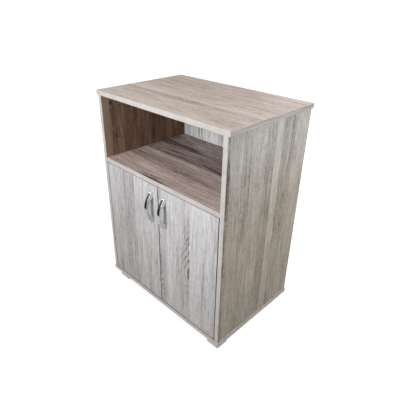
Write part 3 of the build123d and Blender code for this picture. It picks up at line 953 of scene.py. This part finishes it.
def rounded_section(width, thickness, corner):
    """Rounded rectangle from (-width/2, 0) to (width/2, thickness), counter-clockwise."""
    centres = [(width / 2 - corner, corner), (width / 2 - corner, thickness - corner),
               (corner - width / 2, thickness - corner), (corner - width / 2, corner)]
    for quarter, (x, y) in enumerate(centres):
        for step in range(corner_steps + 1):
            turn = math.radians(90 * (quarter - 1 + step / corner_steps))
            yield x + corner * math.cos(turn), y + corner * math.sin(turn)


print("points in a section:", 4 * (corner_steps + 1), "sections:", bow_steps + 1)

# %% [markdown]
# The sections are joined ring by ring into a closed skin. A handle is smooth all over, so its faces are
# shaded smooth, and a limit on the angle keeps the outline of the two ends crisp.


# %% Make the handles
def make_bow(node):
    """Chrome bow handle in the box of its model node."""
    low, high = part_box(node)
    middle = Vector(((low.x + high.x) / 2, high.y, (low.z + high.z) / 2))
    shape = bmesh.new()
    rings = []
    for inner, outer in bow_outline((high.z - low.z) / 2, high.y - low.y):
        across = outer - inner
        corner = min(bow_corner, bow_corner_limit * across.length)
        ring = []
        for x, height in rounded_section(high.x - low.x, across.length, corner):
            along, out = inner + across.normalized() * height
            ring.append(shape.verts.new(middle + Vector((x, -out, along))))
        rings.append(ring)
    for ring, following in zip(rings, rings[1:]):
        for i in range(len(ring)):
            j = (i + 1) % len(ring)
            shape.faces.new((ring[i], ring[j], following[j], following[i]))
    shape.faces.new(rings[0])
    shape.faces.new(rings[-1])
    bmesh.ops.recalc_face_normals(shape, faces=shape.faces)
    for face in shape.faces:
        face.smooth = True
    piece = to_piece(shape, f"{node}_bow", chrome)
    piece.data.set_sharp_from_angle(angle=bow_sharp_angle)
    stand_for(piece, node)
    return piece


for node in ("left_handle", "right_handle"):
    print(node, "faces:", len(make_bow(node).data.polygons))

# %% [markdown]
# ## Screws and nails
# All the screws have round heads with a cross recess. Each could be modelled where it sits, but they
# differ only in size, so one Geometry Nodes tree makes a screw from its sizes and sets it on every
# seat point, turned by chance, as a screwdriver leaves them. The seats are read from the model: each
# loose part of a screw node is one screw.


# %% Seats of the fasteners
def loose_parts(node):
    """Boxes (low, high) of the separate parts in a model node."""
    shape = welded_copy(node)
    left = set(shape.verts)
    found = []
    while left:
        part = set()
        stack = [left.pop()]
        while stack:
            vert = stack.pop()
            part.add(vert)
            for edge in vert.link_edges:
                other = edge.other_vert(vert)
                if other in left:
                    left.remove(other)
                    stack.append(other)
        found.append([Vector([pick(v.co[i] for v in part) for i in range(3)]) for pick in (min, max)])
    shape.free()
    return sorted(found, key=lambda box: tuple(round(c, 4) for c in box[0]))


def face_points(node, facing):
    """Middle of each fastener's outer face, with its facing direction."""
    for low, high in loose_parts(node):
        middle = (low + high) / 2
        way = facing(middle)
        reach = Vector([w * size / 2 for w, size in zip(way, high - low)])
        yield middle + reach, way


def seat_points(name, seats):
    """Loose points for a fastener tree: (place, facing, pointing) each."""
    mesh = bpy.data.meshes.new(name)
    mesh.from_pydata([place for place, _, _ in seats], [], [])
    for index, label in ((1, "facing"), (2, "pointing")):
        layer = mesh.attributes.new(label, "FLOAT_VECTOR", "POINT")
        for item, seat in zip(layer.data, seats):
            item.vector = seat[index]
    return new_object(name, mesh)


print("nails in the back:", len(loose_parts("back_nails")))

# %% [markdown]
# Steps that the trees of all fasteners share: a plain turned form, a cut, a cross recess, and the last
# step, which sets the form on its seats. Both trees end in Realize Instances, because a plain mesh is
# what the finished part needs.


# %% Steps of a fastener tree
def new_fastener_tree(name, sizes):
    """An empty Geometry Nodes tree with length inputs, a seed and a finish."""
    lengths = dict.fromkeys(sizes, "Float")
    inputs = {"Seats": "Geometry", **lengths, "Seed": "Int", "Finish": "Material"}
    return new_group(name, "GeometryNodeTree", inputs, {"Fasteners": "Geometry"})


def turned(tree, sides, top, bottom, depth, rings=1):
    """A turned form that stands on its bottom."""
    values = {"Vertices": sides, "Side Segments": rings, "Radius Top": top, "Radius Bottom": bottom,
              "Depth": depth}
    return add(tree, "GeometryNodeMeshCone", values).outputs["Mesh"]


def lowered(tree, mesh, depth):
    """Move a mesh down its axis."""
    drop = point(tree, 0.0, 0.0, times(tree, depth, -1.0))
    return made(tree, "GeometryNodeTransform", {"Geometry": mesh, "Translation": drop})


def cut(tree, mesh, *tools):
    """Cut tools out of a mesh."""
    node = add(tree, "GeometryNodeMeshBoolean", {0: mesh}, operation="DIFFERENCE", solver="EXACT")
    for tool in tools:
        tree.links.new(tool, node.inputs[1])
    return node.outputs[0]


def cross_bars(tree, length, width_share, depth):
    """Two crossed bars that cut a recess of a given depth below the seat's own level."""
    width = times(tree, length, width_share)
    bars = []
    for x, y in ((length, width), (width, length)):
        size = point(tree, x, y, times(tree, depth, 2.0))
        bars.append(made(tree, "GeometryNodeMeshCube", {"Size": size}))
    return bars


def set_on_seats(tree, given, mesh, by_chance):
    """Set a mesh on every seat: Z faces out, X points along; then make it real and finish it."""
    facing, pointing = [
        made(tree, "GeometryNodeInputNamedAttribute", {0: label}, data_type="FLOAT_VECTOR")
        for label in ("facing", "pointing")
    ]
    align = "FunctionNodeAlignRotationToVector"
    upright = made(tree, align, {"Vector": facing}, axis="Z")
    aligned = made(tree, align, {"Rotation": upright, "Vector": pointing}, axis="X", pivot_axis="Z")
    placed = made(tree, "GeometryNodeInstanceOnPoints",
                  {"Points": given["Seats"], "Instance": mesh, "Rotation": aligned})
    if by_chance:
        limits = {0: (0, 0, 0), 1: (0, 0, math.pi / 2), "Seed": given["Seed"]}
        turn = made(tree, "FunctionNodeRandomValue", limits, data_type="FLOAT_VECTOR")
        placed = made(tree, "GeometryNodeRotateInstances", {"Instances": placed, "Rotation": turn})
    real = made(tree, "GeometryNodeRealizeInstances", {0: placed})
    done = made(tree, "GeometryNodeSetMaterial", {"Geometry": real, "Material": given["Finish"]})
    add(tree, "NodeGroupOutput", {"Fasteners": done})


print("ready: turned forms, cuts, recesses and seats")

# %% [markdown]
# A screw's head is a disc whose top ring is drawn in, which makes a low dome. Two crossed bars are cut
# out of it, and a slim cone is the shank. The sizes are inputs, so that wood screws, machine screws
# and nails all come from the one tree. A nail has no recess, and its head stays whole.

# %% Screw tree
screw_inputs = ("Head radius", "Head height", "Shank radius", "Shank length", "Recess")
head_sides, shank_sides = 24, 12
top_ring = 0.75  # share of the head's height, above the middle ring
drawn_in = 0.34  # of the head's radius, at its top
bar_share, bar_depth_share = 0.26, 0.5
point_share = 0.7  # of the shank's radius, at its lower end


def domed(tree, head, height):
    """Draw in the top ring of a head that stands on its bottom."""
    place = made(tree, "GeometryNodeInputPosition")
    on_top = maths(tree, "GREATER_THAN", split(tree, place)[2], times(tree, height, top_ring))
    share = times_plus(tree, on_top, -drawn_in, 1.0)
    position = scaled(tree, place, point(tree, share, share, 1.0))
    return made(tree, "GeometryNodeSetPosition", {"Geometry": head, "Position": position})


def make_screw_tree():
    """Screws with a domed head and a cross recess; the seat is the top of the head."""
    tree, given = new_fastener_tree("cross head screws", screw_inputs)
    head_radius, height, shank_radius, shank_length, recess = [given[name] for name in screw_inputs]
    head = domed(tree, turned(tree, head_sides, head_radius, head_radius, height, rings=2), height)
    head = lowered(tree, head, height)
    bars = cross_bars(tree, recess, bar_share, times(tree, height, bar_depth_share))
    choice = {"Switch": maths(tree, "GREATER_THAN", recess, 0.0), "False": head,
              "True": cut(tree, head, *bars)}
    head = made(tree, "GeometryNodeSwitch", choice, input_type="GEOMETRY")
    shank_end = times(tree, shank_radius, point_share)
    shank = turned(tree, shank_sides, shank_radius, shank_end, shank_length)
    shank = lowered(tree, shank, maths(tree, "ADD", shank_length, height))
    screw = add(tree, "GeometryNodeJoinGeometry")
    for mesh in (head, shank):
        tree.links.new(mesh, screw.inputs[0])
    set_on_seats(tree, given, screw.outputs[0], True)
    return tree


screw_tree = make_screw_tree()
print("screw tree:", len(screw_tree.nodes), "nodes")

# %% [markdown]
# A tree could stay live as a modifier, but the finished part needs plain meshes. So the tree runs once
# for each node, its result is kept, and the seats are removed.


# %% Make the screws
def make_fasteners(node, tree, seats, values, finish, seed):
    """Run a fastener tree on the seats and keep its result as a plain mesh."""
    points = seat_points(f"{node}_seats", seats)
    modifier = points.modifiers.new("fasteners", "NODES")
    modifier.node_group = tree
    given = dict(values, Seed=seed, Finish=finish)
    for socket in tree.interface.items_tree:
        if socket.in_out == "INPUT" and socket.name in given:
            modifier[socket.identifier] = given[socket.name]
    evaluated = points.evaluated_get(bpy.context.evaluated_depsgraph_get())
    mesh = bpy.data.meshes.new_from_object(evaluated)
    bpy.data.objects.remove(points)
    mesh.name = f"{node}_made"
    if not mesh.materials:
        mesh.materials.append(finish)
    piece = new_object(f"{node}_made", mesh)
    stand_for(piece, node)
    return piece


def inward_x(middle):
    """From a side panel towards the middle of the cabinet."""
    return Vector((-1.0 if middle.x > 0 else 1.0, 0, 0))


def to_rear(middle):
    """Straight back, wherever the fastener sits."""
    return Vector((0, 1, 0))


def to_floor(middle):
    """Straight down, wherever the fastener sits."""
    return Vector((0, 0, -1))


# Head radius, head height, shank radius, shank length and recess, in millimetres
small_screw = (3.5, 1.6, 1.8, 11.0, 4.0)
handle_screw = (4.0, 2.2, 2.0, 21.0, 4.8)
strike_screw = (3.0, 0.7, 1.5, 11.0, 3.6)
screws = {
    "plate_screws": ((4.0, 2.0, 2.0, 14.0, 4.6), inward_x),
    "arm_screws": ((4.0, 2.2, 2.4, 8.0, 4.8), inward_x),
    "catch_screws": (small_screw, to_floor),
    "foot_screws": ((4.0, 2.5, 2.0, 24.0, 4.6), to_floor),
    "left_cup_screws": (small_screw, to_rear),
    "right_cup_screws": (small_screw, to_rear),
    "left_handle_screws": (handle_screw, to_rear),
    "right_handle_screws": (handle_screw, to_rear),
    "left_strike_screw": (strike_screw, to_rear),
    "right_strike_screw": (strike_screw, to_rear),
    "back_nails": ((2.0, 0.6, 0.8, 18.0, 0.0), to_rear),
}
for seed, (node, (sizes, facing)) in enumerate(screws.items()):
    seats = [(place, way, Vector((way.y, way.z, way.x))) for place, way in face_points(node, facing)]
    values = {name: size * MM for name, size in zip(screw_inputs, sizes)}
    piece = make_fasteners(node, screw_tree, seats, values, steel, seed)
    print(node, "seats:", len(seats), "faces:", len(piece.data.polygons))

# %% [markdown]
# ## Cam locks
# A cam lock is a small zinc drum let into the board. It draws in the head of a bolt when it is turned.
# Its face has a cross recess for the screwdriver and a raised rim, and a bore in its side takes the
# bolt. A bump could fake all that from afar, but a close look needs real edges, so they are cut. The X
# axis of a cam points towards its bolt.

# %% Cam tree
cam_sides, bore_sides = 40, 24
sunk_share, sunk_depth_share = 0.84, 0.10
cam_bar_share, cam_bar_depth_share = 0.28, 0.3
bore_reach = 3.0  # bore length, in radii of the drum
cam_sizes = {"Radius": 7.4, "Depth": 12.0, "Bolt level": 8.0, "Bolt bore": 3.9, "Recess": 8.5}


def cylinder(tree, sides, radius, depth):
    """A cylinder around its middle."""
    values = {"Vertices": sides, "Radius": radius, "Depth": depth}
    return add(tree, "GeometryNodeMeshCylinder", values).outputs["Mesh"]


def make_cam_tree():
    """Cam locks: a drum with a sunk face, a cross recess and a bore for the bolt."""
    tree, given = new_fastener_tree("cam locks", cam_sizes)
    radius, depth, bolt_level, bolt_bore, recess = [given[name] for name in cam_sizes]
    drum = lowered(tree, turned(tree, cam_sides, radius, radius, depth), depth)
    sunk_radius, sunk_depth = times(tree, radius, sunk_share), times(tree, depth, sunk_depth_share)
    sunk = cylinder(tree, cam_sides, sunk_radius, sunk_depth)
    bars = cross_bars(tree, recess, cam_bar_share, times(tree, depth, cam_bar_depth_share))
    bore = cylinder(tree, bore_sides, bolt_bore, times(tree, radius, bore_reach))
    level = point(tree, radius, 0.0, times(tree, bolt_level, -1.0))
    lying_bore = {"Geometry": bore, "Translation": level, "Rotation": (0, math.pi / 2, 0)}
    cam = cut(tree, drum, sunk, made(tree, "GeometryNodeTransform", lying_bore), *bars)
    set_on_seats(tree, given, cam, False)
    return tree


cam_tree = make_cam_tree()
print("cam tree:", len(cam_tree.nodes), "nodes")

# %% [markdown]
# The cams in the sides face each other and draw in the bolts of the top and the bottom. The cams under
# the shelf face down and draw in the bolts of the sides.

# %% Make the cams
cabinet_middle = (cad_low.z + cad_high.z) / 2


def cam_facing(middle):
    """Cams in the sides face inwards, cams in the shelf face down."""
    return inward_x(middle) if abs(middle.x) > side_low.x else to_floor(middle)


def cam_pointing(place, way):
    """From the cam towards its bolt."""
    if abs(way.x) > 0.5:
        return Vector((0, 0, 1.0 if place.z > cabinet_middle else -1.0))
    return Vector((1.0 if place.x > 0 else -1.0, 0, 0))


cam_values = {name: size * MM for name, size in cam_sizes.items()}
cam_places = face_points("cam_locks", cam_facing)
cam_seats = [(place, way, cam_pointing(place, way)) for place, way in cam_places]
cams = make_fasteners("cam_locks", cam_tree, cam_seats, cam_values, zinc, 0)
print("cam locks:", len(cam_seats), "faces:", len(cams.data.polygons))

# %% [markdown]
# ## Light
# A product photograph on white: a large soft light from the front, a weaker one from the right, and
# low fills behind and to the left for the sides that the camera doesn't see. One sky light would be
# simpler, but it would give the front and the right side nearly the same tone. The two main lights
# have a narrowed cone, so that they fade from the upper part of the cabinet to its foot.


# %% Lights
def make_light(name, place, target, size, power, colour, cone=180):
    """A soft rectangular light that faces a point; a narrower cone fades faster to its sides."""
    data = bpy.data.lights.new(name, "AREA")
    data.spread = math.radians(cone)
    data.shape = "RECTANGLE"
    data.size, data.size_y = size
    data.energy = power
    data.color = colour
    light = new_object(name, data)
    light.location = place
    light.rotation_mode = "QUATERNION"
    light.rotation_quaternion = (Vector(target) - Vector(place)).to_track_quat("-Z", "Y")


cool, neutral, warm = (0.98, 0.99, 1.0), (0.99, 0.99, 1.0), (1.0, 0.99, 0.97)
lights = {
    "front light": dict(place=(-0.05, front - 1.7, 1.34), target=(0.0, front, 0.95), size=(1.1, 1.1),
                        power=14.6, colour=cool, cone=100),
    "right light": dict(place=(2.2, 0.35, 1.75), target=(0.3, 0.0, 0.7), size=(0.9, 0.9),
                        power=12.8, colour=neutral, cone=100),
    "back light": dict(place=(-0.5, 2.2, 1.0), target=(0.0, 0.2, 0.45), size=(1.2, 0.9),
                       power=30.0, colour=warm),
    "left light": dict(place=(-2.2, 0.1, 1.0), target=(-0.3, 0.0, 0.45), size=(1.2, 0.9),
                       power=22.0, colour=warm),
}
for name, light in lights.items():
    make_light(name, **light)
print("lights:", len(lights))

# %% [markdown]
# ## Ground and background
# The ground shows white to the camera and keeps a soft shadow. It throws little light back, as the
# photograph's floor did. More light could make it white, too, but would bleach the cabinet, so the
# ground and the world glow for camera rays and reflections alone.

# %% Ground and background
sky_colour, sky_strength = (0.96, 0.98, 1.0, 1.0), 0.26
ground_reach = 12.0
ground_greys, ground_rough = ((0.3, 0.20), (0.7, 0.24)), 0.9
# Distance from the cabinet's middle, near and far, then the glow there
ground_glow = (0.5, 1.4, 0.86, 1.0)
ground_mirrored = (0.9, 3.0, 0.42, 1.0)


def greys(stops):
    """Ramp stops from (position, grey) pairs."""
    return [(position, grey(value)) for position, value in stops]


def make_sheet(name, corners, material):
    """A flat sheet from its four corners."""
    mesh = bpy.data.meshes.new(name)
    mesh.from_pydata(corners, [], [(0, 1, 2, 3)])
    mesh.materials.append(material)
    return new_object(name, mesh)


def make_world():
    """White to the camera and in reflections, a dim sky for everything else."""
    world = bpy.data.worlds.new("studio")
    scene.world = world
    world.use_nodes = True
    tree = world.node_tree
    tree.nodes.clear()
    path = add(tree, "ShaderNodeLightPath").outputs
    seen = maths(tree, "MAXIMUM", path["Is Camera Ray"], path["Is Glossy Ray"])
    seen = maths(tree, "MAXIMUM", seen, path["Is Transmission Ray"])
    sky = made(tree, "ShaderNodeBackground", {0: sky_colour, 1: sky_strength})
    white = made(tree, "ShaderNodeBackground", {0: grey(1.0), 1: 1.0})
    mixed = made(tree, "ShaderNodeMixShader", {0: seen, 1: sky, 2: white})
    add(tree, "ShaderNodeOutputWorld", {0: mixed})


def make_ground(reach):
    """A wide pale floor that shows white, with the cabinet's shadow on it."""
    material, tree, shader, place = new_finish("ground white")
    cloud = stretched_noise(tree, place, even(3.0))
    path = add(tree, "ShaderNodeLightPath").outputs
    distance = add(tree, "ShaderNodeVectorMath", {0: place}, operation="LENGTH").outputs["Value"]
    glow = times(tree, path["Is Camera Ray"], spread(tree, distance, *ground_glow))
    mirrored = spread(tree, distance, *ground_mirrored)
    glow = times_plus(tree, path["Is Glossy Ray"], mirrored, glow)
    fill(tree, shader, {"Base Color": ramp(tree, cloud, greys(ground_greys)),
                        "Roughness": ground_rough, "Emission Color": grey(1.0),
                        "Emission Strength": glow})
    corners = [(-reach, -reach, 0), (reach, -reach, 0), (reach, reach, 0), (-reach, reach, 0)]
    ground = make_sheet("ground", corners, material)
    ground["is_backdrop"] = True


make_world()
make_ground(ground_reach)
print("ground:", 2 * ground_reach, "m wide")

# %% [markdown]
# ## Screens for the chrome
# Chrome looks like what it reflects. In a white studio it would vanish against the pale doors, so a
# photographer sets up screens beside the camera. A dark one gives the handles their dark flanks, and a
# bright one above it gives their tips a white glint. Only reflections see these screens.

# %% Screens
screen_near = Vector((-0.05, front - 0.95, 0))
screen_far = Vector((-1.3, front - 0.2, 0))
screen_cloud_scale, screen_cloud_share = (4.0, 4.0, 1.5), 0.35


def make_card(name, low, high, tones):
    """A screen between two heights that only reflections see; tones are (height, grey) in pairs."""
    material, tree, shader, place = new_finish(name)
    cloud = stretched_noise(tree, place, screen_cloud_scale)
    level = times_plus(tree, cloud, screen_cloud_share, split(tree, place)[2])
    fill(tree, shader, {"Emission Color": ramp(tree, level, greys(tones)), "Emission Strength": 1.0,
                        "Base Color": grey(0.0), "Specular IOR Level": 0.0})
    outline = ((screen_near, low), (screen_far, low), (screen_far, high), (screen_near, high))
    card = make_sheet(name, [foot + Vector((0, 0, z)) for foot, z in outline], material)
    for ray in ("camera", "diffuse", "transmission", "shadow"):
        setattr(card, f"visible_{ray}", False)
    card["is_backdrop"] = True


screens = {
    "dark screen": (0.0, 1.3, [(0.1, 0.004), (0.55, 0.03), (1.0, 0.22)]),
    "light screen": (1.3, 2.6, [(0.0, 2.2), (1.0, 2.2)]),
}
for name, (low, high, tones) in screens.items():
    make_card(name, low, high, tones)
    print(name, "from", low, "to", high, "m")

# %% [markdown]
# ## Sizes
# Both boxes, the model's own and the finished cabinet's, are kept side by side. The finished
# cabinet has to stay inside the model's own box.

# %% Sizes
seen_low, seen_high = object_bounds()
sizes = {"cad": [list(cad_low), list(cad_high)], "visual": [list(seen_low), list(seen_high)]}
print("size:", [round(v, 4) for v in seen_high - seen_low])
